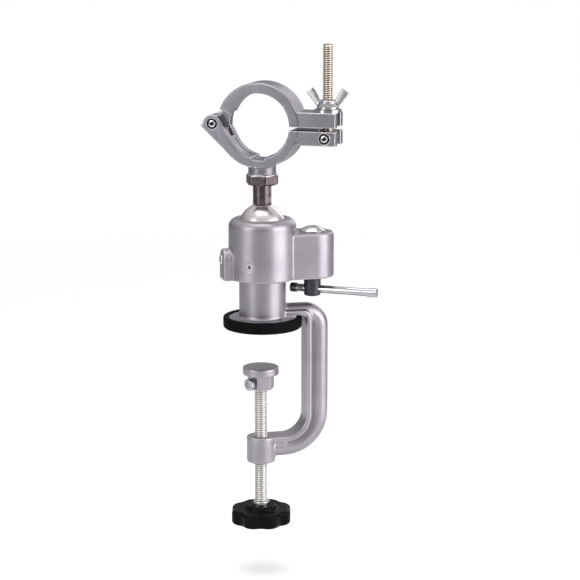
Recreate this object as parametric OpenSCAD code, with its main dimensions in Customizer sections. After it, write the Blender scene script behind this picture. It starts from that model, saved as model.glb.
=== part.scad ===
// Small swivel vise: a C-frame clamps it to a table edge, a ball joint carries a hinged ring that
// grips the round collar of a tool. Origin: centre of the rubber boot's underside, arm toward +X.

/* [C-frame casting] */
// Radius of the round plate that rests on the table
plate_r = 20.3; // [17:0.1:26]
// Thickness of that plate
plate_t = 4; // [3:0.1:8]
// Radius of the post
post_r = 14; // [13:0.1:16]
// Blend radius where the post meets the plate
post_blend = 1.6; // [0.5:0.1:4]
// Inner face of the upright, from the post axis
throat_x = 25.6; // [24.5:0.1:40]
// Outer face of the upright, from the post axis
arm_x = 40.4; // [38.5:0.1:60]
// Top ridge of the arm above the boot's underside
arm_ridge_z = 13.8; // [12:0.1:16]
// Depth of the clamp throat below the boot
throat_h = 67.9; // [60:0.5:120]
// Width of the rounded spine
spine_w = 11.2; // [8:0.1:14]
// Width of the web between spine and flange
web_w = 6.4; // [5:0.1:9]
// Width of the inner flange
flange_w = 15.2; // [12:0.1:20]
// Thickness of the inner flange
flange_t = 3.2; // [2:0.1:5]
// Depth of the lower arm under its flange face
lower_arm_h = 13.2; // [12:0.1:20]
// Outer bend radius at the top
bend_top_r = 14.5; // [9:0.1:18]
// Outer bend radius at the bottom
bend_low_r = 27; // [18:0.1:32]
// Inner bend radius at the top
throat_top_r = 1.6; // [0.8:0.1:4]
// Inner bend radius at the bottom
throat_low_r = 13; // [6:0.1:18]
// Radius of the boss that carries the clamp screw
boss_r = 8.7; // [7.5:0.1:12]
// Height of that boss
boss_h = 16; // [12:0.1:24]
// Offset of the clamp screw from the post axis
screw_x = -1.2; // [-3:0.1:2]

/* [Rubber boot] */
// Outer radius of the boot
boot_r = 23.7; // [22:0.1:24.2]
// Full height of the boot
boot_h = 6.8; // [5:0.1:6.9]
// Thickness of rubber under the plate
boot_floor = 2.4; // [1.5:0.1:4]

/* [Clamp cap] */
// Outer radius of the cap
cap_r = 20.2; // [18.5:0.1:23]
// Underside of the cap above the boot's underside
cap_z = 30.1; // [26:0.1:31]
// Top of the cap, the mouth plane, above the ball's centre
cap_top_over_ball = 5.7; // [4.5:0.1:7]
// Rounding of the cap's top edge
cap_round = 5; // [2:0.1:6]
// Half width and end radius of the side boss
side_r = 12.9; // [12:0.1:14]
// Distance from the ball axis to the clamping bolt
bolt_x = 30.8; // [30:0.1:34]
// Top of the side boss above the boot's underside
side_top_z = 57.2; // [55:0.1:60]
// Rounding of the side boss's top edge
side_round = 1.5; // [0.5:0.1:3]
// Wall of the side boss
side_wall = 2.9; // [2:0.1:3.2]
// Thickness of the side boss's roof
side_roof = 8.2; // [6:0.1:10]
// Outer face of the fulcrum lug, from the ball axis
lug_x = 24.9; // [23.5:0.1:28]
// Half width of the fulcrum lug
lug_r = 6.6; // [5.5:0.1:9]
// Rounding of the lug's outer edge
lug_round = 1.4; // [0.4:0.1:2.5]
// Height of the fulcrum screw above the boot's underside
fulcrum_z = 42.2; // [40:0.1:42.4]
// Radius of the fulcrum screw
fulcrum_r = 2.08; // [1.5:0.02:2.2]
// Radius of its head
fulcrum_head_r = 2.9; // [2.4:0.1:4]
// Height of the set screw above the boot's underside
set_z = 39.8; // [35:0.1:43]
// Direction of the set screw, degrees from the front toward the lug
set_dir = 35; // [20:1:50]
// Radius of the set screw
set_r = 2.08; // [1.5:0.02:2.6]

/* [Clamping bolt] */
// Radius of the bolt's shank
bolt_r = 3.17; // [2.5:0.01:3.6]
// Radius of its domed head
bolt_head_r = 7.6; // [6:0.1:9]
// Height of its domed head
bolt_head_h = 3.4; // [2.5:0.1:4.5]
// Length of the bolt under the head
bolt_len = 32; // [31:0.5:33]
// Thickness of the ear inside the side boss
ear_h = 12; // [9:0.1:12.5]
// Clamping gap between ear and roof
clamp_gap = 1; // [0.5:0.1:2]
// Radius of the tee nut
tee_r = 5.1; // [4.6:0.1:7]
// Underside of the tee nut above the boot's underside
tee_z = 18; // [17:0.1:19]
// Height of the tommy bar's axis above the boot's underside
bar_z = 22; // [21.5:0.1:22]
// Radius of the tommy bar
bar_r = 2.38; // [1.5:0.02:2.4]
// Length of the tommy bar
bar_len = 54; // [40:1:60]
// How far the bar stands out on its short side
bar_short = 13; // [11:0.5:20]
// Direction of the bar, degrees from the arm's direction
bar_dir = -34; // [-36:1:-30]
// Radius of the bar's upset end and of its stop
bar_end_r = 2.85; // [2.5:0.05:3]

/* [Ball joint] */
// Radius of the ball
ball_r = 14.29; // [13:0.01:14.3]
// Floor of the seat's cup above the boot's underside
cup_z = 45.3; // [44.8:0.1:47]
// Radius of the stud
stud_r = 5.56; // [4.5:0.01:6.5]
// Outer radius of the seat under the ball
seat_r = 11; // [9.5:0.1:11.4]
// How far the seat's lower face lies under the ball
seat_under = 0.11; // [0.05:0.01:0.3]
// Width across flats of the jam nut
jam_af = 17.46; // [15:0.01:20]
// Height of the jam nut
jam_h = 6.6; // [5:0.1:8]
// Underside of the jam nut above the ball's centre
jam_over_ball = 25.6; // [24:0.1:32]

/* [Hinged ring] */
// Radius of the tool collar that the ring grips
bore_r = 19.05; // [15:0.05:22]
// Wall of the ring
ring_wall = 6.15; // [5.9:0.05:8]
// Width of the ring along its bore
ring_w = 18; // [16:0.1:24]
// Turn of the ring's bore from the front
ring_yaw = -30; // [-180:1:180]
// Chamfer of the ring's edges
ring_chamfer = 0.7; // [0.3:0.1:1.2]
// Radius of the neck under the ring
neck_r = 8.25; // [7.5:0.05:9]
// Length of the neck under the ring
neck_h = 4; // [2:0.1:10]
// Width of the key slot in the bore's bottom
key_w = 8; // [4:0.1:9]
// Depth of the key slot
key_d = 1.3; // [0.6:0.1:1.4]
// Hinge pin from the ring's centre
hinge_x = 28.4; // [28:0.1:30]
// Hinge pin above the ring's centre
hinge_up = 0.4; // [0:0.1:1]
// Radius of both pins
pin_r = 2; // [1.5:0.05:2.1]
// Radius of the pins' heads
pin_head_r = 3.1; // [2.7:0.05:3.2]
// Radius of the hinge knuckle
knuckle_r = 5.4; // [5.2:0.1:6]
// Thickness of the tongue and of the bolt's eye
tongue_t = 6.2; // [5:0.1:6.4]
// Thickness of the upper ear
upper_ear_h = 8.7; // [7:0.1:11]
// Thickness of the lower ear
lower_ear_h = 8.4; // [8:0.1:11]
// Gap between the ears
split_gap = 2.2; // [1:0.1:4]
// End of the ears from the ring's centre
ear_end_x = 47; // [46:0.1:50]
// Axis of the swing bolt from the ring's centre
swing_x = 40.2; // [39.5:0.1:41]

/* [Swing bolt and wing nut] */
// Radius of the swing bolt
rod_r = 3.17; // [2.5:0.01:3.3]
// Top of the swing bolt above the ring's centre
rod_top = 49.6; // [40:0.1:70]
// Radius of the bolt's eye
eye_r = 4.6; // [4.2:0.1:4.8]
// Radius of the washer
washer_r = 8; // [6.5:0.1:8.5]
// Thickness of the washer
washer_t = 1.5; // [1:0.1:2]
// Span of the wings
wing_span = 26; // [22:0.5:29]
// Height of the wing nut
wing_h = 12.6; // [10:0.1:16]
// Thickness of each wing
wing_t = 2.4; // [1.6:0.1:3]
// Width of each wing
wing_w = 7; // [5:0.1:9]
// Direction of the wings, degrees from the arm's direction
wing_dir = -15; // [-180:1:180]
// Lower radius of the wing nut's hub
wing_hub_r = 6.6; // [5.5:0.1:7.5]
// Height of that hub
wing_hub_h = 5; // [4:0.1:7]

/* [Clamp screw] */
// Radius of the clamp screw
screw_r = 3.97; // [3:0.01:4.2]
// Top of the pressure disc below the boot's underside
pad_drop = 24.5; // [5:0.1:32]
// Radius of the pressure disc
disc_r = 10.9; // [9:0.1:14]
// Thickness of the pressure disc
disc_t = 4.6; // [3:0.1:6]
// Width across flats of the pad's hub
hub_af = 14.6; // [13:0.1:18]
// Turn of the hub's corner from the pad screw
hub_turn = 30; // [0:1:60]
// Height of the pad's hub
hub_h = 9; // [8:0.1:12]
// Direction of the pad screw, degrees from the front toward the lug side
pad_screw_dir = 57; // [40:1:70]
// Radius of the pad screw
pad_screw_r = 1.6; // [1.2:0.05:1.9]
// Radius of its head
pad_head_r = 3.6; // [2.6:0.1:4]
// Height of its head
pad_head_h = 2.4; // [1.5:0.1:3]
// How far the pad screw's head stands off the hub
pad_screw_out = 1.6; // [0.4:0.1:3]
// Length of the clamp screw
screw_len = 90; // [86:0.5:130]
// Radius of the knob over its lobes
knob_r = 18.4; // [15:0.1:26]
// Number of lobes
knob_lobes = 8; // [5:1:10]
// Radius of each lobe
lobe_r = 4.6; // [4:0.1:6]
// Height of the lobed body
knob_h = 9; // [7:0.1:14]
// Radius of the knob's raised hub
knob_hub_r = 9.6; // [7.5:0.1:12]
// Height of the raised hub over the lobes
knob_hub_h = 2; // [1:0.1:4]
// Radius of the knob's metal insert
insert_r = 5; // [4.6:0.05:6.5]
// Height of the insert above the raised hub
insert_up = 2.6; // [1:0.1:4]

/* [Clearances] */
// Radial play of a turning or sliding fit
run_gap = 0.06; // [0.04:0.01:0.08]
// Radial play of a fixed fit
fix_gap = 0.03; // [0.02:0.01:0.06]
// Play between ball and seats
ball_gap = 0.12; // [0.08:0.01:0.2]
// Side play in a fork
fork_gap = 0.3; // [0.2:0.05:0.4]

/* [Hidden] */
$fn = 96;
cut = 0.5;
plate_top_z = boot_floor + plate_t;
boot_play = 0.2;
arm_under_z = max(boot_h, plate_top_z) + boot_play;
spine_r = spine_w / 2;
boss_top_z = -throat_h;
ceiling_z = side_top_z - side_roof;
ear_top_z = ceiling_z - clamp_gap;
ear_z = ear_top_z - ear_h;
ear_play = 0.6;
ear_r = side_r - side_wall - ear_play;
spring_h = 1.1;
seat_z = cup_z + spring_h;
seat_depth = ball_r + seat_under;
ball_z = seat_z + seat_depth;
cap_top_z = ball_z + cap_top_over_ball;
cap_bore_r = post_r + 0.2;
rim_share = 0.546;
post_top_z = ball_z - rim_share * ball_r;
stud_flat = 0.7;
spring_t = 0.6;
spring_hole_r = seat_r / 2;
seat_hole_r = seat_r / 2 - 0.5;
neck_z = ball_z + jam_over_ball + jam_h;
ring_r = bore_r + ring_wall;
ring_z = neck_z + neck_h + ring_r;
slot_w = tongue_t + 2 * fork_gap;
half_w = ring_w / 2;
ear_step = 0.15;
ear_w = ring_w - 2 * ear_step;
pin_z = -split_gap - lower_ear_h / 2;
shoulder_deg = 159;
lower_end_deg = 166;
clevis_top_deg = 167.5;
tongue_end_deg = 183;
room_end_deg = 202;
pin_head_h = 1.6;
socket_share = 0.8;
tee_washer_t = 1.4;
tee_top_z = ear_z - tee_washer_t;
tee_round = 1.2;
bar_neck = 3;
bar_upset = 5.5;
pad_z = -pad_drop - disc_t;
hub_z = pad_z - hub_h;
pad_roof = 1.4;
screw_top_z = hub_z + hub_h - pad_roof;
screw_end_z = screw_top_z - screw_len;
groove_z = hub_z + 0.42 * hub_h;
groove_r = screw_r - 1;
insert_end_up = 2;
knob_z = screw_end_z - insert_end_up;
knob_top_z = knob_z + knob_h + knob_hub_h;

// A point at radius r and angle a
function polar(r, a) = [r * cos(a), r * sin(a)];

// Disc standing on its base, with its top edge rounded by e
module rounded_disc(r, h, e) {
    cylinder(r = r, h = h - e);
    cylinder(r = r - e, h = h);
    translate([0, 0, h - e]) rotate_extrude() translate([r - e, 0]) circle(r = e, $fn = 48);
}

// Dome of base radius r and height h, cut from one sphere
module dome(r, h) {
    ball = (r * r + h * h) / (2 * h);
    intersection() {
        translate([0, 0, h - ball]) sphere(r = ball);
        cylinder(r = r, h = h);
    }
}

// Hexagonal bar across flats af, with a corner on +X
module hex_bar(af, h) {
    cylinder(r = af / sqrt(3), h = h, $fn = 6);
}

// Hexagonal nut with turned chamfers at the ends that are asked for
module hex_nut(af, h, chamfer, both) {
    corner_r = af / sqrt(3);
    intersection() {
        hex_bar(af, h);
        rotate_extrude() polygon([[0, 0], [corner_r - (both ? chamfer : 0), 0],
            [corner_r, both ? chamfer : 0], [corner_r, h - chamfer / 2],
            [corner_r - chamfer, h], [0, h]]);
    }
}

// Screw head with a hexagonal socket, top at z = h
module socket_head(r, h, e) {
    difference() {
        rounded_disc(r, h, e);
        translate([0, 0, h - socket_share * h]) hex_bar(r, h);
    }
}

// Straight-backed shape open toward -X, its two right corners rounded
module throat_shape(x1, z0, z1, r0, r1, back) {
    translate([back, z0]) square([x1 - r0 - back, z1 - r1 - z0]);
    translate([back, z0 + r0]) square([x1 - back, z1 - r1 - z0 - r0]);
    translate([back, z0 + r0]) square([x1 - r1 - back, z1 - z0 - r0]);
    translate([x1 - r0, z0 + r0]) circle(r = r0);
    translate([x1 - r1, z1 - r1]) circle(r = r1);
}

// The clamp throat in side view, grown by g
module throat(g) {
    throat_shape(throat_x + g, boss_top_z - g, arm_under_z + g, throat_low_r + g, throat_top_r + g,
        screw_x - cut);
}

// Turns a side view drawn in x and z upright and gives it a width along Y
module side_view(w) {
    rotate([90, 0, 0]) linear_extrude(w, center = true) children();
}

// Round outer spine of the arm: three straight runs and two bends
module spine() {
    low_z = boss_top_z - lower_arm_h + spine_r;
    top_z = arm_ridge_z - spine_r;
    translate([0, 0, top_z]) rotate([0, 90, 0]) cylinder(r = spine_r, h = arm_x - bend_top_r);
    translate([arm_x - bend_top_r, 0, arm_ridge_z - bend_top_r]) rotate([90, 0, 0])
        rotate_extrude(angle = 90) translate([bend_top_r - spine_r, 0]) circle(r = spine_r);
    translate([arm_x - spine_r, 0, boss_top_z - lower_arm_h + bend_low_r])
        cylinder(r = spine_r, h = arm_ridge_z - bend_top_r - boss_top_z + lower_arm_h - bend_low_r);
    translate([arm_x - bend_low_r, 0, boss_top_z - lower_arm_h + bend_low_r]) rotate([90, 0, 0])
        rotate([0, 0, -90]) rotate_extrude(angle = 90)
        translate([bend_low_r - spine_r, 0]) circle(r = spine_r);
    translate([screw_x, 0, low_z]) rotate([0, 90, 0])
        cylinder(r = spine_r, h = arm_x - bend_low_r - screw_x);
}

// Flange, web and spine of the C-shaped arm
module arm() {
    difference() {
        spine();
        side_view(2 * spine_w) throat(0);
    }
    side_view(web_w) right_of_screw() difference() {
        throat_shape(arm_x - spine_r, boss_top_z - lower_arm_h + spine_r, arm_ridge_z - spine_r,
            bend_low_r - spine_r, bend_top_r - spine_r, screw_x);
        throat(0);
    }
    side_view(flange_w) right_of_screw() difference() {
        throat(flange_t);
        throat(0);
    }
}

// Keeps only what lies right of the clamp screw's axis in side view
module right_of_screw() {
    intersection() {
        children();
        translate([screw_x, boss_top_z - lower_arm_h]) square([arm_x, arm_ridge_z - boss_top_z + lower_arm_h]);
    }
}

// Concave blend of radius post_blend round the foot of the post
module post_foot() {
    translate([0, 0, plate_top_z]) rotate_extrude() difference() {
        square([post_r + post_blend, post_blend]);
        translate([post_r + post_blend, post_blend]) circle(r = post_blend, $fn = 48);
    }
}

// Metal between plate and arm, inside the boot's lip
module arm_foot() {
    intersection() {
        side_view(flange_w) translate([post_r / 2, plate_top_z - plate_t / 2])
            square([plate_r, arm_under_z - plate_top_z + plate_t / 2 + flange_t / 2]);
        translate([0, 0, boot_floor]) cylinder(r = plate_r - boot_play, h = arm_ridge_z - boot_floor);
    }
}

// Places what follows at the set screw, its axis pointing outward along +Z
module at_set_screw(out) {
    rotate([0, 0, -90 - set_dir]) translate([out, 0, set_z]) rotate([0, 90, 0]) children();
}

// Ear inside the side boss, in plan
module ear_plan(r) {
    translate([0, -r]) square([bolt_x, 2 * r]);
    translate([bolt_x, 0]) circle(r = r);
}

module base_frame() {
    color("silver") difference() {
        union() {
            translate([0, 0, boot_floor]) cylinder(r = plate_r, h = plate_t);
            translate([0, 0, boot_floor]) cylinder(r = post_r, h = post_top_z - boot_floor);
            post_foot();
            arm();
            arm_foot();
            translate([screw_x, 0, boss_top_z - boss_h]) cylinder(r = boss_r, h = boss_h);
            translate([0, 0, ear_z]) linear_extrude(ear_h) ear_plan(ear_r);
        }
        translate([0, 0, cup_z]) cylinder(r = seat_r + run_gap, h = post_top_z - cup_z + cut);
        translate([0, 0, ball_z]) sphere(r = ball_r + fork_gap);
        translate([screw_x, 0, boss_top_z - boss_h - cut])
            cylinder(r = screw_r + run_gap, h = boss_h + 2 * cut);
        translate([bolt_x, 0, ear_z - cut]) cylinder(r = bolt_r + run_gap, h = ear_h + 2 * cut);
        translate([-post_r - cut, 0, fulcrum_z]) rotate([0, 90, 0])
            cylinder(r = fulcrum_r + fix_gap, h = post_r / 2 + 2 * cut);
        at_set_screw(post_r - set_r / 2) cylinder(r = set_r + fix_gap, h = post_r);
    }
}

module rubber_boot() {
    color("#202022") difference() {
        rounded_disc(boot_r, boot_h, boot_play * 3);
        translate([0, 0, boot_floor]) cylinder(r = plate_r + fix_gap, h = boot_h);
    }
}

// Solid outside of the cap: bell, side boss and lug
module cap_body() {
    translate([0, 0, cap_z]) rounded_disc(cap_r, cap_top_z - cap_z, cap_round);
    translate([0, 0, cap_z]) linear_extrude(side_top_z - cap_z - side_round) ear_plan(side_r);
    translate([0, 0, cap_z]) linear_extrude(side_top_z - cap_z) ear_plan(side_r - side_round);
    translate([bolt_x, 0, side_top_z - side_round]) rotate_extrude()
        translate([side_r - side_round, 0]) circle(r = side_round, $fn = 48);
    for (s = [-1, 1]) translate([0, s * (side_r - side_round), side_top_z - side_round])
        rotate([0, 90, 0]) cylinder(r = side_round, h = bolt_x, $fn = 48);
    translate([0, 0, fulcrum_z]) rotate([0, -90, 0]) rounded_disc(lug_r, lug_x, lug_round);
    translate([-lug_x + lug_round, -lug_r, cap_z]) cube([lug_x - lug_round, 2 * lug_r, fulcrum_z - cap_z]);
    translate([-lug_x, -lug_r + lug_round, cap_z])
        cube([lug_x, 2 * (lug_r - lug_round), fulcrum_z - cap_z]);
    for (s = [-1, 1]) translate([-lug_x + lug_round, s * (lug_r - lug_round), cap_z])
        cylinder(r = lug_round, h = fulcrum_z - cap_z, $fn = 48);
}

module clamp_cap() {
    color("silver") difference() {
        cap_body();
        translate([0, 0, cap_z - cut]) cylinder(r = cap_bore_r, h = post_top_z - cap_z + cut);
        translate([0, 0, post_top_z]) cylinder(r = ball_r + ball_gap, h = ball_z - post_top_z);
        translate([0, 0, ball_z]) sphere(r = ball_r + ball_gap);
        translate([0, 0, cap_z - cut]) linear_extrude(ceiling_z - cap_z + cut)
            ear_plan(side_r - side_wall);
        translate([bolt_x, 0, ceiling_z - cut]) cylinder(r = bolt_r + run_gap, h = side_roof + 2 * cut);
        translate([bolt_x - bolt_r - fix_gap, -bolt_r - fix_gap, side_top_z - bolt_r])
            cube([2 * (bolt_r + fix_gap), 2 * (bolt_r + fix_gap), bolt_r + cut]);
        translate([-lug_x - cut, 0, fulcrum_z]) rotate([0, 90, 0])
            cylinder(r = fulcrum_r + run_gap, h = lug_x - post_r / 2);
        translate([-lug_x - cut, 0, fulcrum_z]) rotate([0, 90, 0])
            cylinder(r = fulcrum_head_r + run_gap, h = fulcrum_r / 2 + cut);
        at_set_screw(post_r - set_r) cylinder(r = set_r + fix_gap, h = cap_r);
    }
}

module fulcrum_screw() {
    color("gainsboro") translate([-lug_x + fulcrum_r / 2, 0, fulcrum_z]) {
        rotate([0, -90, 0]) rounded_disc(fulcrum_head_r, fulcrum_r, fulcrum_r / 2);
        rotate([0, 90, 0]) cylinder(r = fulcrum_r, h = lug_x - fulcrum_r / 2 - post_r / 2 - cut);
    }
}

module set_screw() {
    color("dimgray") at_set_screw(post_r - set_r / 2 + fix_gap) difference() {
        cylinder(r = set_r, h = cap_r - post_r + set_r / 2 - 2 * boot_play);
        translate([0, 0, cap_r - post_r - set_r / 2]) hex_bar(set_r, 2 * set_r);
    }
}

module carriage_bolt() {
    color("gainsboro") translate([bolt_x, 0, side_top_z]) {
        dome(bolt_head_r, bolt_head_h);
        translate([-bolt_r, -bolt_r, -bolt_r + fix_gap]) cube([2 * bolt_r, 2 * bolt_r, bolt_r]);
        translate([0, 0, -bolt_len]) cylinder(r = bolt_r, h = bolt_len);
    }
}

module seat_spring() {
    color("gray") translate([0, 0, cup_z]) rotate_extrude()
        polygon([[seat_r - spring_t, 0], [seat_r - fix_gap, 0], [seat_r - fix_gap, spring_t / 2],
            [spring_hole_r + spring_t, spring_h - fix_gap], [spring_hole_r, spring_h - fix_gap],
            [spring_hole_r, spring_h - spring_t]]);
}

module ball_seat() {
    color("ivory") difference() {
        translate([0, 0, seat_z]) cylinder(r = seat_r, h = post_top_z - seat_z - fork_gap);
        translate([0, 0, ball_z]) sphere(r = ball_r + ball_gap);
        translate([0, 0, seat_z - cut]) cylinder(r = seat_hole_r, h = seat_depth);
    }
}

module ball_stud() {
    flat = stud_r - stud_flat;
    flat_z = ball_z + ball_r + spring_h;
    color("gainsboro") difference() {
        union() {
            translate([0, 0, ball_z]) sphere(r = ball_r);
            translate([0, 0, ball_z]) cylinder(r = stud_r, h = neck_z + neck_h + stud_r / 2 - ball_z);
        }
        for (s = [0, 180]) rotate([0, 0, ring_yaw + s]) translate([flat, -ball_r, flat_z])
            cube([ball_r, 2 * ball_r, jam_over_ball + ball_z - flat_z - spring_h]);
    }
}

module jam_nut() {
    color("darkgray") translate([0, 0, ball_z + jam_over_ball]) rotate([0, 0, 30]) difference() {
        hex_nut(jam_af, jam_h, jam_h / 6, true);
        translate([0, 0, -cut]) cylinder(r = stud_r + fix_gap, h = jam_h + 2 * cut);
    }
}

// Places the ring and what rides on it
module in_ring() {
    translate([0, 0, ring_z]) rotate([0, 0, ring_yaw]) children();
}

// Part of the ring from angle a0 to a1, full width, edges chamfered
module ring_arc(a0, a1) {
    c = ring_chamfer;
    rotate([90, 0, 0]) rotate([0, 0, a0]) rotate_extrude(angle = a1 - a0)
        polygon([[bore_r, -half_w + c], [bore_r + c, -half_w], [ring_r - c, -half_w],
            [ring_r, -half_w + c], [ring_r, half_w - c], [ring_r - c, half_w],
            [bore_r + c, half_w], [bore_r, half_w - c]]);
}

// Sector of the ring's wall in side view
module wall_sector(a0, a1, r1) {
    steps = 4;
    polygon(concat([[0, 0]], [for (i = [0 : steps]) polar(2 * r1, a0 + (a1 - a0) * i / steps)]));
}

// The ring's wall between two angles, bounded by two true circles
module wall_arc(a0, a1, r0, r1) {
    intersection() {
        difference() {
            circle(r = r1);
            circle(r = r0);
        }
        wall_sector(a0, a1, r1);
    }
}

// Ear from inside the ring's wall to its end
module ear_block(z0, h) {
    start = bore_r + ring_wall / 3;
    translate([start, -ear_w / 2, z0]) cube([ear_end_x - start, ear_w, h]);
}

// Fork slot through an ear, open at the ear's end and round where it stops
module ear_slot() {
    stop_x = swing_x - eye_r - 2 * fork_gap;
    translate([stop_x, -slot_w / 2, -split_gap - lower_ear_h - cut])
        cube([ear_end_x, slot_w, split_gap + lower_ear_h + upper_ear_h + 2 * cut]);
}

// Hole and head recess of a pin that lies along the bore
module pin_hole(x, z, r) {
    translate([x, 0, z]) rotate([90, 0, 0]) {
        translate([0, 0, -half_w - cut]) cylinder(r = r, h = ring_w + 2 * cut);
        for (s = [0, 180]) rotate([s, 0, 0]) translate([0, 0, half_w - pin_head_h])
            cylinder(r = pin_head_r + fix_gap, h = pin_head_h + cut);
    }
}

// Pin with a socket head at each end
module cross_pin(x, z) {
    in_ring() translate([x, 0, z]) rotate([90, 0, 0]) {
        translate([0, 0, -half_w + pin_head_h]) cylinder(r = pin_r, h = ring_w - 2 * pin_head_h);
        for (s = [0, 180]) rotate([s, 0, 0]) translate([0, 0, half_w - pin_head_h])
            socket_head(pin_head_r, pin_head_h, ring_chamfer);
    }
}

// Corner of the clevis and the straight line from it to the ring, in side view
module clevis_side() {
    corner = [-hinge_x - 1.3 * knuckle_r, hinge_up - 0.26 * knuckle_r];
    reach = norm(corner);
    corner_deg = atan2(corner[1], corner[0]) + 360;
    touch_deg = corner_deg + acos(ring_r / reach);
    mid_r = bore_r + ring_wall / 2;
    meet_r = ring_r - ring_chamfer / 2;
    translate([-hinge_x, hinge_up]) circle(r = knuckle_r);
    polygon([corner, polar(meet_r, touch_deg), polar(mid_r, touch_deg), polar(mid_r, 195),
        polar(mid_r, clevis_top_deg), polar(meet_r, clevis_top_deg),
        [-hinge_x - 0.4 * knuckle_r, hinge_up + 0.9 * knuckle_r]]);
}

// Room between the clevis ears for the upper jaw's tongue
module tongue_room() {
    floor_z = polar(bore_r, tongue_end_deg)[1] - 5 * fork_gap;
    open_x = bore_r * 0.85;
    deep_x = bore_r + ring_wall / 2;
    deep_z = polar(bore_r, room_end_deg)[1];
    translate([-hinge_x, slot_w / 2, hinge_up]) rotate([90, 0, 0])
        cylinder(r = knuckle_r + fork_gap, h = slot_w);
    translate([-hinge_x, -slot_w / 2, floor_z]) cube([hinge_x - open_x, slot_w, ring_r]);
    translate([-deep_x, -slot_w / 2, deep_z]) cube([deep_x - open_x, slot_w, ring_r]);
}

module lower_jaw() {
    color("silver") in_ring() difference() {
        union() {
            difference() {
                ring_arc(lower_end_deg, 360);
                tongue_room();
            }
            difference() {
                side_view(ear_w) difference() {
                    clevis_side();
                    circle(r = bore_r + ring_wall / 3);
                }
                tongue_room();
            }
            ear_block(-split_gap - lower_ear_h, lower_ear_h + split_gap / 2);
            translate([0, 0, -ring_r - neck_h]) cylinder(r = neck_r, h = neck_h + ring_wall / 3);
        }
        translate([0, -ring_w, -split_gap]) cube([2 * ring_r, 2 * ring_w, ring_r]);
        translate([-key_w / 2, -ring_w, -bore_r - key_d]) cube([key_w, 2 * ring_w, ring_wall]);
        translate([0, 0, -ring_r - neck_h - cut])
            cylinder(r = stud_r + run_gap, h = neck_h + stud_r / 2 + cut + fork_gap);
        ear_slot();
        pin_hole(-hinge_x, hinge_up, pin_r + fix_gap);
        pin_hole(swing_x, pin_z, pin_r + fix_gap);
    }
}

module upper_jaw() {
    color("silver") in_ring() difference() {
        union() {
            ring_arc(0, shoulder_deg);
            ear_block(0, upper_ear_h);
            side_view(tongue_t) {
                wall_arc(shoulder_deg - 2, tongue_end_deg, bore_r, ring_r);
                translate([-hinge_x, hinge_up]) circle(r = knuckle_r - fork_gap);
            }
        }
        ear_slot();
        translate([-hinge_x, 0, hinge_up]) rotate([90, 0, 0])
            cylinder(r = pin_r + run_gap, h = 2 * ring_w, center = true);
    }
}

module hinge_pin() {
    color("gainsboro") cross_pin(-hinge_x, hinge_up);
}

module eyebolt_pin() {
    color("gainsboro") cross_pin(swing_x, pin_z);
}

module eye_bolt() {
    color("khaki") in_ring() translate([swing_x, 0, 0]) difference() {
        union() {
            translate([0, 0, pin_z]) cylinder(r = rod_r, h = rod_top - pin_z);
            translate([0, 0, pin_z]) rotate([90, 0, 0]) cylinder(r = eye_r, h = tongue_t, center = true);
        }
        translate([0, 0, pin_z]) rotate([90, 0, 0])
            cylinder(r = pin_r + run_gap, h = 2 * tongue_t, center = true);
    }
}

// Flat washer standing on its base
module washer(r, hole_r, t) {
    difference() {
        cylinder(r = r, h = t);
        translate([0, 0, -cut]) cylinder(r = hole_r, h = t + 2 * cut);
    }
}

module jaw_washer() {
    color("gainsboro") in_ring() translate([swing_x, 0, upper_ear_h]) washer(washer_r, rod_r + run_gap, washer_t);
}

// One wing: a leaning strip with a round top
module wing() {
    foot_x = wing_hub_r - wing_t;
    run = wing_span / 2 - wing_t - foot_x;
    rise = wing_h - wing_hub_h / 2;
    reach = norm([run, rise]) - wing_w / 2;
    translate([foot_x, 0, wing_hub_h / 2]) rotate([0, atan2(run, rise), 0]) {
        translate([0, -wing_w / 2, -wing_t / 2]) cube([wing_t, wing_w, reach + wing_t / 2]);
        translate([0, 0, reach]) rotate([0, 90, 0]) cylinder(r = wing_w / 2, h = wing_t);
    }
}

module wing_nut() {
    color("whitesmoke") in_ring() translate([swing_x, 0, upper_ear_h + washer_t])
        rotate([0, 0, wing_dir - ring_yaw]) difference() {
            union() {
                cylinder(r1 = wing_hub_r, r2 = rod_r + wing_t, h = wing_hub_h);
                for (s = [0, 180]) rotate([0, 0, s]) wing();
            }
            translate([0, 0, -cut]) cylinder(r = rod_r + run_gap, h = wing_h + 2 * cut);
        }
}

module tee_washer() {
    color("gainsboro") translate([bolt_x, 0, tee_top_z])
        washer(tee_r + washer_t, bolt_r + run_gap, tee_washer_t - fix_gap);
}

// Places what follows on the tommy bar's axis, along +Z
module on_bar(along) {
    translate([bolt_x, 0, bar_z]) rotate([0, 0, bar_dir]) rotate([0, 90, 0])
        translate([0, 0, along]) children();
}

module tee_nut() {
    color("#2a2a2e") difference() {
        translate([bolt_x, 0, tee_top_z - fix_gap]) rotate([180, 0, 0])
            rounded_disc(tee_r, tee_top_z - fix_gap - tee_z, tee_round);
        translate([bolt_x, 0, side_top_z - bolt_len - spring_h])
            cylinder(r = bolt_r + run_gap, h = bolt_len);
        on_bar(-2 * tee_r) cylinder(r = bar_r + run_gap, h = 4 * tee_r);
    }
}

module tommy_bar() {
    color("gainsboro") {
        on_bar(-bar_short) cylinder(r = bar_r, h = bar_len);
        on_bar(bar_len - bar_short - bar_upset) difference() {
            rounded_disc(bar_end_r, bar_upset, bar_r / 4);
            translate([-bar_r / 4, -bar_r * 2, bar_upset - bar_r])
                cube([bar_r / 2, bar_r * 4, bar_r * 2]);
        }
    }
}

module bar_stop() {
    color("#39393d") difference() {
        on_bar(bar_neck - bar_short) rotate([180, 0, 0]) rounded_disc(bar_end_r, bar_neck + bar_r / 3, bar_r / 3);
        on_bar(-bar_short) cylinder(r = bar_r + fix_gap / 2, h = bar_len);
    }
}

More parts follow.
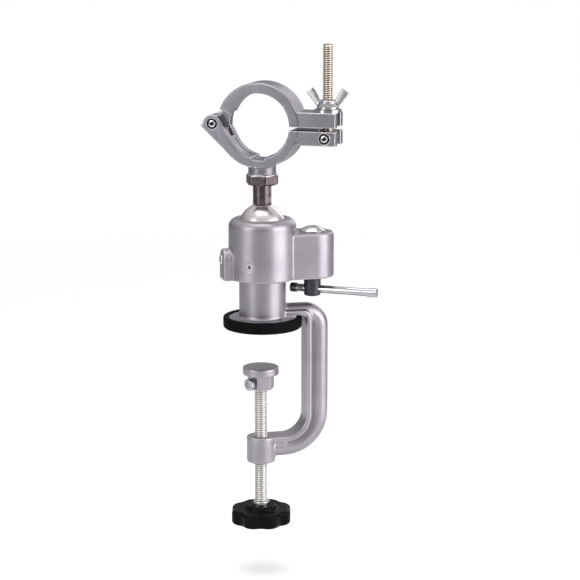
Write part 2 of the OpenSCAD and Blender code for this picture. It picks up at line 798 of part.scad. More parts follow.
module pressure_pad() {
    front = -90 - pad_screw_dir;
    color("silver") translate([screw_x, 0, 0]) difference() {
        union() {
            translate([0, 0, pad_z]) rounded_disc(disc_r, disc_t, disc_t / 8);
            translate([0, 0, hub_z]) rotate([0, 0, front + hub_turn]) hex_bar(hub_af, hub_h + cut);
        }
        translate([0, 0, hub_z - cut]) cylinder(r = screw_r + run_gap, h = screw_top_z - hub_z + cut + run_gap);
        rotate([0, 0, front]) translate([groove_r + run_gap, 0, groove_z]) rotate([0, 90, 0])
            cylinder(r = pad_screw_r + fix_gap, h = hub_af);
    }
}

module pad_screw() {
    head_x = hub_af / 2 + pad_screw_out;
    color("gainsboro") translate([screw_x, 0, groove_z]) rotate([0, 0, -90 - pad_screw_dir])
        rotate([0, 90, 0]) {
            translate([0, 0, groove_r + 2 * run_gap])
                cylinder(r = pad_screw_r, h = head_x - groove_r);
            translate([0, 0, head_x]) difference() {
                rounded_disc(pad_head_r, pad_head_h, pad_head_h / 3);
                translate([0, 0, pad_head_h / 2]) hex_bar(pad_head_r, pad_head_h);
            }
        }
}

module clamp_screw() {
    half_groove = pad_screw_r + 2 * run_gap;
    color("gainsboro") translate([screw_x, 0, 0]) difference() {
        translate([0, 0, screw_end_z]) cylinder(r = screw_r, h = screw_len);
        translate([0, 0, groove_z - half_groove]) difference() {
            cylinder(r = 2 * screw_r, h = 2 * half_groove);
            translate([0, 0, -cut]) cylinder(r = groove_r, h = 2 * half_groove + 2 * cut);
        }
    }
}

module knob() {
    lobe_at = knob_r - lobe_r;
    edge = knob_h / 5;
    color("#18181a") translate([screw_x, 0, knob_z]) difference() {
        union() {
            rounded_disc(lobe_at + lobe_r / 4, knob_h, edge);
            for (i = [0 : knob_lobes - 1]) rotate([0, 0, 360 / knob_lobes * (i + 0.2)])
                translate([lobe_at, 0, 0]) rounded_disc(lobe_r, knob_h, edge);
            rounded_disc(knob_hub_r, knob_h + knob_hub_h, knob_hub_h / 2);
        }
        translate([0, 0, insert_end_up]) cylinder(r = insert_r + fix_gap, h = knob_h + knob_hub_h);
    }
}

module knob_insert() {
    color("darkgray") translate([screw_x, 0, screw_end_z]) difference() {
        rounded_disc(insert_r, knob_top_z + insert_up - screw_end_z, insert_up / 4);
        translate([0, 0, -cut]) cylinder(r = screw_r + fix_gap, h = screw_len);
    }
}

base_frame();
rubber_boot();
clamp_cap();
fulcrum_screw();
set_screw();
carriage_bolt();
seat_spring();
ball_seat();
ball_stud();
jam_nut();
lower_jaw();
upper_jaw();
hinge_pin();
eyebolt_pin();
eye_bolt();
jaw_washer();
wing_nut();
tee_washer();
tee_nut();
tommy_bar();
bar_stop();
pressure_pad();
pad_screw();
clamp_screw();
knob();
knob_insert();
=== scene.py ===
"""Looks of a small swivel vise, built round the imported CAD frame.

Every sub-assembly of the vise is a class with its sizes as fields, in millimetres.
It dresses the CAD nodes of its bodies: castings become soft-edged copies, threads,
knob and wing nut get their real forms, and each surface gets a procedural finish.
"""
import logging
import math
from collections.abc import Callable, Iterable, Sequence
from dataclasses import dataclass, field
from enum import Enum

import bmesh
import bpy
from mathutils import Matrix, Vector


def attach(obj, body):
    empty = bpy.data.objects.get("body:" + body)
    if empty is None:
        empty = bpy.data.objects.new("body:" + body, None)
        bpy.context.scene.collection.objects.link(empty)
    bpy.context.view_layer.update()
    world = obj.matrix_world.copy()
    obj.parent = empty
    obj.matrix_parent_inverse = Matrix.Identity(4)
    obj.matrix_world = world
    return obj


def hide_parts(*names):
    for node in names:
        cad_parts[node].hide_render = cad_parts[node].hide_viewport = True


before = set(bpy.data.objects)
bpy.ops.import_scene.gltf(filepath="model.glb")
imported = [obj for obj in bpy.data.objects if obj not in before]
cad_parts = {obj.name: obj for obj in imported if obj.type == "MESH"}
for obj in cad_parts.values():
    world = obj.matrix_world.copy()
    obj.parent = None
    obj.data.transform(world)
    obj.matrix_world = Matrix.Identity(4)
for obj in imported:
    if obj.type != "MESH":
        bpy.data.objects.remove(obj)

log = logging.getLogger("swivel_vise")

MM = 0.001
Profile = Sequence[tuple[float, float]]
Turn = Callable[[float, float, float], float]
# Radius, in millimetres, that stands for the axis in a turned outline
CORE = 0.01
# Distances, in millimetres, under which points are one, in own shapes and in CAD meshes
WELD = 0.0005
CAD_WELD = 0.001
# Lays a shape's own vertical along the front-to-back direction
LAID = Matrix.Rotation(math.radians(90), 4, "X")
# Stretch that holds nearly all values of the noise
NOISE_REACH = (0.3, 0.7)
# Pointiness where a painted highlight on a corner begins and where it is brightest, and the highlight's
# colour
EDGE_HIGHLIGHT_REACH = (0.512, 0.555)
EDGE_HIGHLIGHT_COLOR = (0.9, 0.89, 0.9, 1.0)
WHITE = (1.0, 1.0, 1.0, 1.0)


class Body(str, Enum):
    """Bodies of the CAD frame that new pieces ride on."""

    BASE = "base"
    BALL = "ball"
    RING = "ring"
    JAW = "jaw"
    SWING_BOLT = "swing_bolt"
    WING = "wing"
    TEE = "tee"
    PAD = "pad"
    SCREW = "screw"


class Slot(str, Enum):
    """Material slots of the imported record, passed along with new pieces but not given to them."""

    CAST = "cast_aluminium"
    RING = "machined_ring"
    BRIGHT = "bright_steel"
    ZINC = "zinc_steel"
    YELLOW = "yellow_zinc"
    DARK = "dark_steel"
    BLACK_STEEL = "black_steel"
    RUBBER = "black_rubber"
    PLASTIC = "black_plastic"


# Finishes


class Graph:
    """Small helper that builds a shader node tree."""

    def __init__(self, tree: bpy.types.NodeTree) -> None:
        """Empties the tree.

        Args:
            tree: The node tree of a material or a world.
        """
        self.tree = tree
        tree.nodes.clear()

    def node(self, kind: str, **values: object) -> bpy.types.Node:
        """Adds a node.

        Args:
            kind: Node type, such as "ShaderNodeBump".
            **values: Properties by name, or socket values as in_Name.

        Returns:
            The new node.
        """
        made = self.tree.nodes.new(kind)
        for name, value in values.items():
            if name.startswith("in_"):
                made.inputs[name[3:].replace("_", " ")].default_value = value
            else:
                setattr(made, name, value)
        return made

    def link(self, out: bpy.types.NodeSocket, into: bpy.types.NodeSocket) -> None:
        """Links two sockets.

        Args:
            out: Socket that the value comes from.
            into: Socket that it goes to.
        """
        self.tree.links.new(out, into)

    def noise(self, size_mm: float, detail: float) -> bpy.types.NodeSocket:
        """Noise in the piece's own coordinates.

        Args:
            size_mm: Rough size of a spot, in millimetres.
            detail: Number of finer layers.

        Returns:
            The noise value's socket.
        """
        noise = self.node("ShaderNodeTexNoise", in_Scale=1.0 / (size_mm * MM), in_Detail=detail)
        self.link(self.node("ShaderNodeTexCoord").outputs["Object"], noise.inputs["Vector"])
        return noise.outputs["Fac"]

    def ranged(self, value: bpy.types.NodeSocket, start: float, stop: float, low: float = 0.0,
               high: float = 1.0) -> bpy.types.NodeSocket:
        """Maps a stretch of a value to a range, held at its ends.

        Args:
            value: The value's socket.
            start: Value that gives the low result.
            stop: Value that gives the high result.
            low: Result at the start.
            high: Result at the stop.

        Returns:
            The result's socket.
        """
        ranged = self.node("ShaderNodeMapRange", in_From_Min=start, in_From_Max=stop, in_To_Min=low,
                           in_To_Max=high)
        self.link(value, ranged.inputs["Value"])
        return ranged.outputs["Result"]

    def length(self, vector: bpy.types.NodeSocket) -> bpy.types.NodeSocket:
        """Length of a vector.

        Args:
            vector: The vector's socket.

        Returns:
            The length's socket.
        """
        made = self.node("ShaderNodeVectorMath", operation="LENGTH")
        self.link(vector, made.inputs[0])
        return made.outputs["Value"]

    def mixed(self, factor: bpy.types.NodeSocket, first: bpy.types.NodeSocket,
              second: bpy.types.NodeSocket) -> bpy.types.NodeSocket:
        """Mixes two shaders.

        Args:
            factor: Share of the second one.
            first: First shader.
            second: Second shader.

        Returns:
            The mixed shader's socket.
        """
        mix = self.node("ShaderNodeMixShader")
        for value, into in zip((factor, first, second), mix.inputs):
            self.link(value, into)
        return mix.outputs["Shader"]


@dataclass(frozen=True)
class RootShade:
    """Painted shade in the roots of a thread, sized in millimetres.

    Attributes:
        axis: Place of the thread's axis, x and y.
        dark_r: Radius up to which it is dark.
        light_r: Radius from which it keeps its colour.
        light: How light the dark part stays, 0 for black.
    """

    axis: tuple[float, float]
    dark_r: float
    light_r: float
    light: float


@dataclass(frozen=True)
class Finish:
    """One surface finish.

    Attributes:
        name: Name of the material.
        color: Base colour, linear.
        tint: Colour that the base drifts to in large soft spots.
        metallic: 0 for a dielectric, 1 for bare metal.
        roughness: Lowest roughness.
        roughness_spread: How much noise adds to it.
        grain_mm: Size of the surface grain.
        grain_depth: Depth of the grain, in millimetres.
        spot_mm: Size of the large colour spots.
        edge_highlight: How much corners are brightened with a painted highlight, 0 for none.
        specular: Specular level.
        root: Painted shade in the roots of a thread, or None.
    """

    name: str
    color: tuple[float, float, float]
    tint: tuple[float, float, float]
    metallic: float
    roughness: float
    roughness_spread: float = 0.08
    grain_mm: float = 0.5
    grain_depth: float = 0.01
    spot_mm: float = 12.0
    # Strength of the painted highlight on corners
    edge_highlight: float = 0.0
    specular: float = 0.5
    root: RootShade | None = None

    def build(self) -> bpy.types.Material:
        """Makes the material once, and returns it again on later calls.

        Returns:
            The Blender material.
        """
        known = bpy.data.materials.get(self.name)
        if known is not None:
            return known
        material = bpy.data.materials.new(self.name)
        material.use_nodes = True
        graph = Graph(material.node_tree)
        shader = graph.node("ShaderNodeBsdfPrincipled", in_Metallic=self.metallic)
        shader.inputs["Specular IOR Level"].default_value = self.specular
        out = graph.node("ShaderNodeOutputMaterial")
        graph.link(shader.outputs["BSDF"], out.inputs["Surface"])
        self._paint(graph, shader)
        bump = graph.node("ShaderNodeBump", in_Strength=1.0, in_Distance=self.grain_depth * MM)
        graph.link(graph.noise(self.grain_mm, 3.0), bump.inputs["Height"])
        graph.link(bump.outputs["Normal"], shader.inputs["Normal"])
        rough = graph.ranged(graph.noise(self.grain_mm * 5, 4.0), *NOISE_REACH, self.roughness,
                             self.roughness + self.roughness_spread)
        graph.link(rough, shader.inputs["Roughness"])
        return material

    def _paint(self, graph: Graph, shader: bpy.types.Node) -> None:
        """Colour with soft spots, a painted highlight on corners where asked for, and painted shade toward a
        thread's roots.

        Args:
            graph: The material's graph.
            shader: The shader whose base colour is linked.
        """
        mix = graph.node("ShaderNodeMix", data_type="RGBA")
        mix.inputs["A"].default_value = (*self.color, 1)
        mix.inputs["B"].default_value = (*self.tint, 1)
        graph.link(graph.ranged(graph.noise(self.spot_mm, 3.0), *NOISE_REACH), mix.inputs["Factor"])
        painted = mix.outputs["Result"]
        # Painted highlight: corners, found by their pointiness, are brightened toward a pale colour
        if self.edge_highlight > 0:
            point = graph.node("ShaderNodeNewGeometry").outputs["Pointiness"]
            bright = graph.node("ShaderNodeMix", data_type="RGBA")
            bright.inputs["B"].default_value = EDGE_HIGHLIGHT_COLOR
            graph.link(graph.ranged(point, *EDGE_HIGHLIGHT_REACH, 0.0, self.edge_highlight), bright.inputs["Factor"])
            graph.link(painted, bright.inputs["A"])
            painted = bright.outputs["Result"]
        # Painted shade: a thread is darkened toward its roots
        if self.root is not None:
            painted = self._shade_roots(graph, painted, self.root)
        graph.link(painted, shader.inputs["Base Color"])

    @staticmethod
    def _shade_roots(graph: Graph, painted: bpy.types.NodeSocket, root: RootShade) -> bpy.types.NodeSocket:
        """Paints shade into a thread, darker toward its roots.

        Args:
            graph: The material's graph.
            painted: Colour so far.
            root: Where the painted shade lies.

        Returns:
            The shaded colour's socket.
        """
        offset = graph.node("ShaderNodeMapping")
        offset.inputs["Location"].default_value = (-root.axis[0] * MM, -root.axis[1] * MM, 0)
        offset.inputs["Scale"].default_value = (1, 1, 0)
        graph.link(graph.node("ShaderNodeTexCoord").outputs["Object"], offset.inputs["Vector"])
        depth = graph.ranged(graph.length(offset.outputs["Vector"]), root.dark_r * MM, root.light_r * MM,
                             root.light)
        shaded = graph.node("ShaderNodeVectorMath", operation="SCALE")
        graph.link(painted, shaded.inputs[0])
        graph.link(depth, shaded.inputs["Scale"])
        return shaded.outputs["Vector"]


# The cast, ring and wing nut finishes paint a highlight onto their corners
CAST_ALUMINIUM = Finish("cast_aluminium_satin", (0.37, 0.352, 0.385), (0.45, 0.43, 0.462), 0.9, 0.36,
                        grain_mm=0.45, grain_depth=0.014, spot_mm=16.0, edge_highlight=0.3)
RING_ALUMINIUM = Finish("ring_aluminium_satin", (0.25, 0.237, 0.272), (0.30, 0.286, 0.322), 0.8, 0.34,
                        grain_mm=0.3, grain_depth=0.008, spot_mm=9.0, edge_highlight=0.85)
CHROME = Finish("bright_chrome", (0.76, 0.76, 0.78), (0.66, 0.66, 0.68), 1.0, 0.08, 0.06,
                grain_mm=2.0, grain_depth=0.003, spot_mm=6.0)
BAR_CHROME = Finish("bar_chrome", (0.60, 0.60, 0.62), (0.48, 0.48, 0.50), 1.0, 0.1, 0.06,
                    grain_mm=2.0, grain_depth=0.003, spot_mm=6.0)
WING_ZINC = Finish("wing_nut_zinc", (0.40, 0.40, 0.41), (0.50, 0.50, 0.51), 1.0, 0.2, 0.08,
                   grain_mm=1.0, grain_depth=0.003, spot_mm=5.0, edge_highlight=0.7)
BALL_CHROME = Finish("ball_chrome", (0.78, 0.725, 0.745), (0.70, 0.64, 0.665), 1.0, 0.25, 0.06,
                     grain_mm=1.6, grain_depth=0.004, spot_mm=5.0)
ZINC = Finish("zinc_plated_steel", (0.66, 0.65, 0.65), (0.56, 0.55, 0.56), 1.0, 0.16, 0.08,
              grain_mm=1.2, grain_depth=0.003, spot_mm=4.0)
# Both threads get painted shade toward their roots
THREADED_ZINC = Finish("threaded_zinc", (0.92, 0.91, 0.88), (0.84, 0.83, 0.80), 1.0, 0.36, 0.06,
                       grain_mm=1.2, grain_depth=0.002, spot_mm=4.0,
                       root=RootShade((-1.2, 0.0), 3.35, 3.85, 0.6))
YELLOW_ZINC = Finish("pale_yellow_zinc", (0.90, 0.82, 0.73), (0.80, 0.72, 0.63), 1.0, 0.24, 0.06,
                     grain_mm=1.2, grain_depth=0.002, spot_mm=4.0,
                     root=RootShade((34.814, -20.1), 2.65, 3.05, 0.35))
DARK_STEEL = Finish("dark_oiled_steel", (0.17, 0.14, 0.15), (0.10, 0.08, 0.088), 1.0, 0.22, 0.12,
                    grain_mm=0.8, grain_depth=0.008, spot_mm=2.6)
BLACK_OXIDE = Finish("black_oxide_steel", (0.05, 0.048, 0.056), (0.085, 0.082, 0.094), 0.7, 0.3, 0.12,
                     grain_mm=0.6, grain_depth=0.008, spot_mm=2.5)
# Flat black that stands for shadow: painted shadow in the pins' sockets, round their heads and in the bore
PAINTED_SHADOW = Finish("socket_shadow", (0.008, 0.008, 0.009), (0.016, 0.015, 0.017), 0.0, 0.6, specular=0.1)
SPRING_STEEL = Finish("brushed_spring_steel", (0.4, 0.4, 0.42), (0.3, 0.3, 0.32), 1.0, 0.3)
RUBBER = Finish("matte_black_rubber", (0.004, 0.0035, 0.0038), (0.007, 0.0065, 0.007), 0.0, 0.6, 0.15,
                grain_mm=0.35, grain_depth=0.014, spot_mm=6.0, specular=0.05)
PLASTIC = Finish("black_moulded_plastic", (0.004, 0.0035, 0.004), (0.007, 0.006, 0.007), 0.0, 0.25, 0.12,
                 grain_mm=0.5, grain_depth=0.01, spot_mm=8.0, specular=0.06)
SEAT_PLASTIC = Finish("milky_seat_plastic", (0.7, 0.68, 0.62), (0.62, 0.6, 0.55), 0.0, 0.4)


# Mesh tools


def steps(start: float, stop: float, count: int) -> list[float]:
    """Evenly spaced angles.

    Args:
        start: First angle, in degrees.
        stop: Last angle, in degrees.
        count: Number of intervals.

    Returns:
        The angles in radians, both ends included.
    """
    return [math.radians(start + (stop - start) * i / count) for i in range(count + 1)]


@dataclass(frozen=True)
class Seat:
    """Place and direction of a local frame in the vise, in millimetres and degrees.

    Attributes:
        at: Origin of the local frame.
        yaw: Turn about the vertical.
    """

    at: tuple[float, float, float] = (0.0, 0.0, 0.0)
    yaw: float = 0.0

    def local(self) -> Matrix:
        """The frame with millimetres as its unit.

        Returns:
            Matrix from local to vise coordinates.
        """
        return Matrix.Translation(self.at) @ Matrix.Rotation(math.radians(self.yaw), 4, "Z")

    def matrix(self) -> Matrix:
        """The frame with metres as its unit.

        Returns:
            Matrix from local to vise coordinates.
        """
        return Matrix.Translation(Vector(self.at) * MM) @ Matrix.Rotation(math.radians(self.yaw), 4, "Z")


class Shaper:
    """Collects closed shapes, drawn in millimetres, into one mesh."""

    def __init__(self) -> None:
        """Starts with an empty mesh."""
        self.mesh = bmesh.new()

    def grid(self, rings: Sequence[Sequence[Vector]], close_ends: bool = True) -> None:
        """Skins closed rings of equal length.

        Args:
            rings: Rings of points, in order.
            close_ends: Whether the first and last ring are filled.
        """
        rows = [[self.mesh.verts.new(point * MM) for point in ring] for ring in rings]
        for low, high in zip(rows, rows[1:]):
            count = len(low)
            for i in range(count):
                j = (i + 1) % count
                self.mesh.faces.new((low[i], low[j], high[j], high[i]))
        if close_ends:
            self.mesh.faces.new(list(reversed(rows[0])))
            self.mesh.faces.new(rows[-1])

    def lathe(self, profile: Profile, segments: int, turn: Turn | None = None,
              place: Matrix | None = None) -> None:
        """Turns a profile of radius and height about the local vertical.

        Args:
            profile: Points (radius, height), the ends closed by flat faces.
            segments: Points round the axis.
            turn: Radius as a function of radius, height and angle, or None for a true circle.
            place: Local placing, in millimetres.
        """
        place = place or Matrix.Identity(4)
        rings = []
        for radius, height in profile:
            ring = []
            for i in range(segments):
                angle = 2 * math.pi * i / segments
                reach = turn(radius, height, angle) if turn else radius
                ring.append(place @ Vector((reach * math.cos(angle), reach * math.sin(angle), height)))
            rings.append(ring)
        self.grid(rings)

    def band(self, outline: Profile, place: Matrix, segments: int = 48) -> None:
        """Turns a closed outline about the local vertical, as a ring without ends.

        Args:
            outline: Points (radius, height).
            place: Local placing, in millimetres.
            segments: Points round the axis.
        """
        rings = [[place @ Vector((r * math.cos(a), r * math.sin(a), z)) for r, z in outline]
                 for a in steps(0, 360, segments)[:-1]]
        self.grid(rings + rings[:1], close_ends=False)
        bmesh.ops.remove_doubles(self.mesh, verts=self.mesh.verts, dist=WELD * MM)

    def build(self, name: str) -> bpy.types.Object:
        """Turns the collected shapes into an object with smooth faces.

        Args:
            name: Name of the object.

        Returns:
            The object, linked to the scene.
        """
        bmesh.ops.recalc_face_normals(self.mesh, faces=self.mesh.faces)
        data = bpy.data.meshes.new(name)
        self.mesh.to_mesh(data)
        self.mesh.free()
        return Workshop.add(name, data)


class Workshop:
    """Makes objects from meshes, and softens them."""

    @staticmethod
    def add(name: str, data: bpy.types.Mesh, smooth: bool = True) -> bpy.types.Object:
        """Links a mesh to the scene as a new object.

        Args:
            name: Name of the object.
            data: Its mesh.
            smooth: Whether its faces are shaded smooth.

        Returns:
            The object.
        """
        piece = bpy.data.objects.new(name, data)
        bpy.context.scene.collection.objects.link(piece)
        for face in data.polygons:
            face.use_smooth = smooth
        return piece

    @staticmethod
    def applied(piece: bpy.types.Object) -> bpy.types.Object:
        """Applies all modifiers of a piece.

        Args:
            piece: Object with modifiers.

        Returns:
            The same object, with the result as its mesh.
        """
        graph = bpy.context.evaluated_depsgraph_get()
        data = bpy.data.meshes.new_from_object(piece.evaluated_get(graph))
        piece.modifiers.clear()
        old = piece.data
        piece.data = data
        bpy.data.meshes.remove(old)
        for face in data.polygons:
            face.use_smooth = True
        return piece

    @classmethod
    def soften(cls, piece: bpy.types.Object, voxel_mm: float, rounds: int,
               seat: Seat = Seat()) -> bpy.types.Object:
        """Rebuilds a piece as one skin with soft edges.

        Args:
            piece: The piece, whose mesh is closed.
            voxel_mm: Size of the skin's cells.
            rounds: Rounds of smoothing, more for softer edges.
            seat: Frame in which the cells are aligned.

        Returns:
            The same object with its new mesh.
        """
        place = seat.matrix()
        piece.data.transform(place.inverted())
        remesh = piece.modifiers.new("skin", "REMESH")
        remesh.mode = "VOXEL"
        remesh.voxel_size = voxel_mm * MM
        smooth = piece.modifiers.new("soft", "SMOOTH")
        smooth.factor = 0.5
        smooth.iterations = rounds
        cls.applied(piece)
        piece.data.transform(place)
        return piece

    @classmethod
    def soft_copy(cls, node: str, voxel_mm: float, rounds: int, seat: Seat = Seat(),
                  cutters: Iterable[bpy.types.Object] = ()) -> bpy.types.Object:
        """Soft-edged copy of a CAD node.

        Args:
            node: Name of the node.
            voxel_mm: Size of the skin's cells.
            rounds: Rounds of smoothing.
            seat: Frame in which the cells are aligned.
            cutters: Objects that are taken away from the copy first, and then removed.

        Returns:
            The new object.
        """
        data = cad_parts[node].data.copy()
        welded = bmesh.new()
        welded.from_mesh(data)
        bmesh.ops.remove_doubles(welded, verts=welded.verts, dist=CAD_WELD * MM)
        welded.to_mesh(data)
        welded.free()
        data.materials.clear()
        copy = cls.add(f"{node}_soft", data)
        for cutter in cutters:
            cut = copy.modifiers.new("cut", "BOOLEAN")
            cut.operation, cut.solver, cut.object = "DIFFERENCE", "EXACT", cutter
            cls.applied(copy)
            bpy.data.objects.remove(cutter)
        return cls.soften(copy, voxel_mm, rounds, seat)


@dataclass
class Assembly:
    """A group of pieces on the vise."""

    def build(self) -> None:
        """Dresses the assembly."""
        raise NotImplementedError

    @staticmethod
    def dress(nodes: Iterable[str], finish: Finish) -> None:
        """Gives CAD nodes that stay their finish.

        Args:
            nodes: Names of the nodes.
            finish: Their finish.
        """
        for node in nodes:
            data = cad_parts[node].data
            if not data.materials:
                data.materials.append(None)
            for index in range(len(data.materials)):
                data.materials[index] = finish.build()

    @staticmethod
    def mount(piece: bpy.types.Object, body: Body, slot: Slot, finish: Finish, *nodes: str) -> None:
        """Puts a new piece on its body, in the place of CAD nodes.

        Args:
            piece: The new piece.
            body: Body that it rides on.
            slot: Material slot that its finish belongs to; not used.
            finish: Its finish.
            *nodes: CAD nodes that it stands for.
        """
        piece.data.materials.clear()
        piece.data.materials.append(finish.build())
        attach(piece, body.value)
        if nodes:
            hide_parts(*nodes)
        log.info("%s: %d faces", piece.name, len(piece.data.polygons))


# Threads


@dataclass(frozen=True)
class Thread:
    """A right-hand thread on a plain rod.

    Attributes:
        radius: Crest radius.
        pitch: Rise per turn.
        depth: Depth from crest to root.
        segments: Points round the rod.
        steps: Points along one pitch.
        flat_share: Share of half a pitch that is flat, at the crest and at the root.
    """

    radius: float
    pitch: float
    depth: float
    segments: int = 40
    steps: int = 8
    flat_share: float = 0.12

    def reach(self, height: float, angle: float) -> float:
        """Radius of the flank at a height and an angle.

        Args:
            height: Height along the rod.
            angle: Angle round it, in radians.

        Returns:
            The radius there.
        """
        phase = (height / self.pitch - angle / (2 * math.pi)) % 1.0
        flank = abs(phase - 0.5) * 2
        fall = (flank - self.flat_share) / (1 - 2 * self.flat_share)
        return self.radius - self.depth * min(1.0, max(0.0, fall))

    def rod(self, shaper: Shaper, low: float, high: float, plain: Sequence[tuple[float, float, float]] = (),
            place: Matrix | None = None) -> None:
        """Adds a threaded rod with chamfered ends.

        Args:
            shaper: Collects the shape.
            low: Lower end.
            high: Upper end.
            plain: Stretches (low, high, radius) without thread.
            place: Local placing, in millimetres.
        """
        count = max(2, round((high - low) / self.pitch * self.steps))
        profile = [(self.radius, low + (high - low) * i / count) for i in range(count + 1)]

        def turn(radius: float, height: float, angle: float) -> float:
            """Flank's radius, or that of a plain stretch, less the chamfer near an end."""
            end = min(height - low, high - height)
            for start, stop, reach in plain:
                if start <= height <= stop:
                    return reach
            return min(self.reach(height, angle), self.radius - self.depth + end)

        shaper.lathe(profile, self.segments, turn, place)


# Sub-assemblies


@dataclass
class BaseFrame(Assembly):
    """C-frame casting with its rubber boot.

    Attributes:
        voxel: Cell size of the casting's skin.
        rounds: Rounds of smoothing of the casting.
        boot_r: Outer radius of the boot.
        boot_h: Height of the boot.
        boot_bore: Inner radius of its lip.
        boot_floor: Rubber under the plate.
        boot_round: Rounding of its outer edges.
    """

    voxel: float = 0.55
    rounds: int = 6
    boot_r: float = 23.7
    boot_h: float = 6.8
    boot_bore: float = 20.4
    boot_floor: float = 2.35
    boot_round: float = 1.5

    def build(self) -> None:
        """Casting with soft edges, and a boot with rolled edges."""
        casting = Workshop.soft_copy("base_frame", self.voxel, self.rounds)
        self.mount(casting, Body.BASE, Slot.CAST, CAST_ALUMINIUM, "base_frame")
        shaper = Shaper()
        shaper.lathe(self._boot_profile(), segments=128)
        self.mount(shaper.build("rubber_boot_rolled"), Body.BASE, Slot.RUBBER, RUBBER, "rubber_boot")
        self.dress(["seat_spring"], SPRING_STEEL)

    def _boot_profile(self) -> list[tuple[float, float]]:
        """Outline of the boot from the underside's centre to its inner floor.

        Returns:
            Points of radius and height.
        """
        outer, top, low_r = self.boot_r, self.boot_h, self.boot_round
        top_r = low_r / 2
        inset, chamfer = 1.0, 0.3
        points = [(CORE, 0.0), (outer - low_r - inset, 0.0)]
        points += [(outer - low_r + low_r * math.sin(a), low_r - low_r * math.cos(a))
                   for a in steps(0, 90, 6)]
        points += [(outer - top_r + top_r * math.cos(a), top - top_r + top_r * math.sin(a))
                   for a in steps(0, 90, 6)]
        points += [(self.boot_bore + chamfer, top), (self.boot_bore, top - chamfer),
                   (self.boot_bore, self.boot_floor), (CORE, self.boot_floor)]
        return points


@dataclass
class ClampCap(Assembly):
    """Cap over the ball, with its screws and the domed bolt.

    Attributes:
        voxel: Cell size of the casting's skin.
        rounds: Rounds of smoothing of the casting.
        bolt_x: Axis of the clamping bolt.
        bolt_top: Seat of its head.
        head_r: Radius of its head.
        head_h: Height of its head.
        shank_r: Radius of its shank.
        bolt_len: Length under the head.
    """

    voxel: float = 0.5
    rounds: int = 5
    bolt_x: float = 30.8
    bolt_top: float = 57.2
    head_r: float = 7.6
    head_h: float = 3.4
    shank_r: float = 3.17
    bolt_len: float = 32.0

    def build(self) -> None:
        """Casting with soft edges, domed bolt and small screws."""
        casting = Workshop.soft_copy("clamp_cap", self.voxel, self.rounds)
        self.mount(casting, Body.BASE, Slot.CAST, CAST_ALUMINIUM, "clamp_cap")
        self.mount(self._bolt(), Body.BASE, Slot.ZINC, BAR_CHROME, "carriage_bolt")
        self.dress(["fulcrum_screw"], ZINC)
        self.dress(["set_screw"], CAST_ALUMINIUM)

    def _bolt(self) -> bpy.types.Object:
        """Domed bolt with a thin rim under its dome.

        Returns:
            The bolt.
        """
        chamfer, edge = 0.4, 0.2
        rim_low, rim_high, dome_low = 0.15, 0.4, 0.5
        rise = self.head_h - dome_low
        ball = (self.head_r ** 2 + rise ** 2) / (2 * rise)
        dome = math.degrees(math.asin(self.head_r / ball))
        profile = [(CORE, -self.bolt_len), (self.shank_r - chamfer, -self.bolt_len),
                   (self.shank_r, chamfer - self.bolt_len), (self.shank_r, 0.0), (self.head_r - edge, 0.0),
                   (self.head_r, rim_low), (self.head_r, rim_high)]
        profile += [(max(CORE, ball * math.sin(a)), self.head_h - ball + ball * math.cos(a))
                    for a in steps(dome, 0.0, 14)]
        shaper = Shaper()
        shaper.lathe(profile, segments=72, place=Matrix.Translation((self.bolt_x, 0, self.bolt_top)))
        return shaper.build("carriage_bolt_domed")


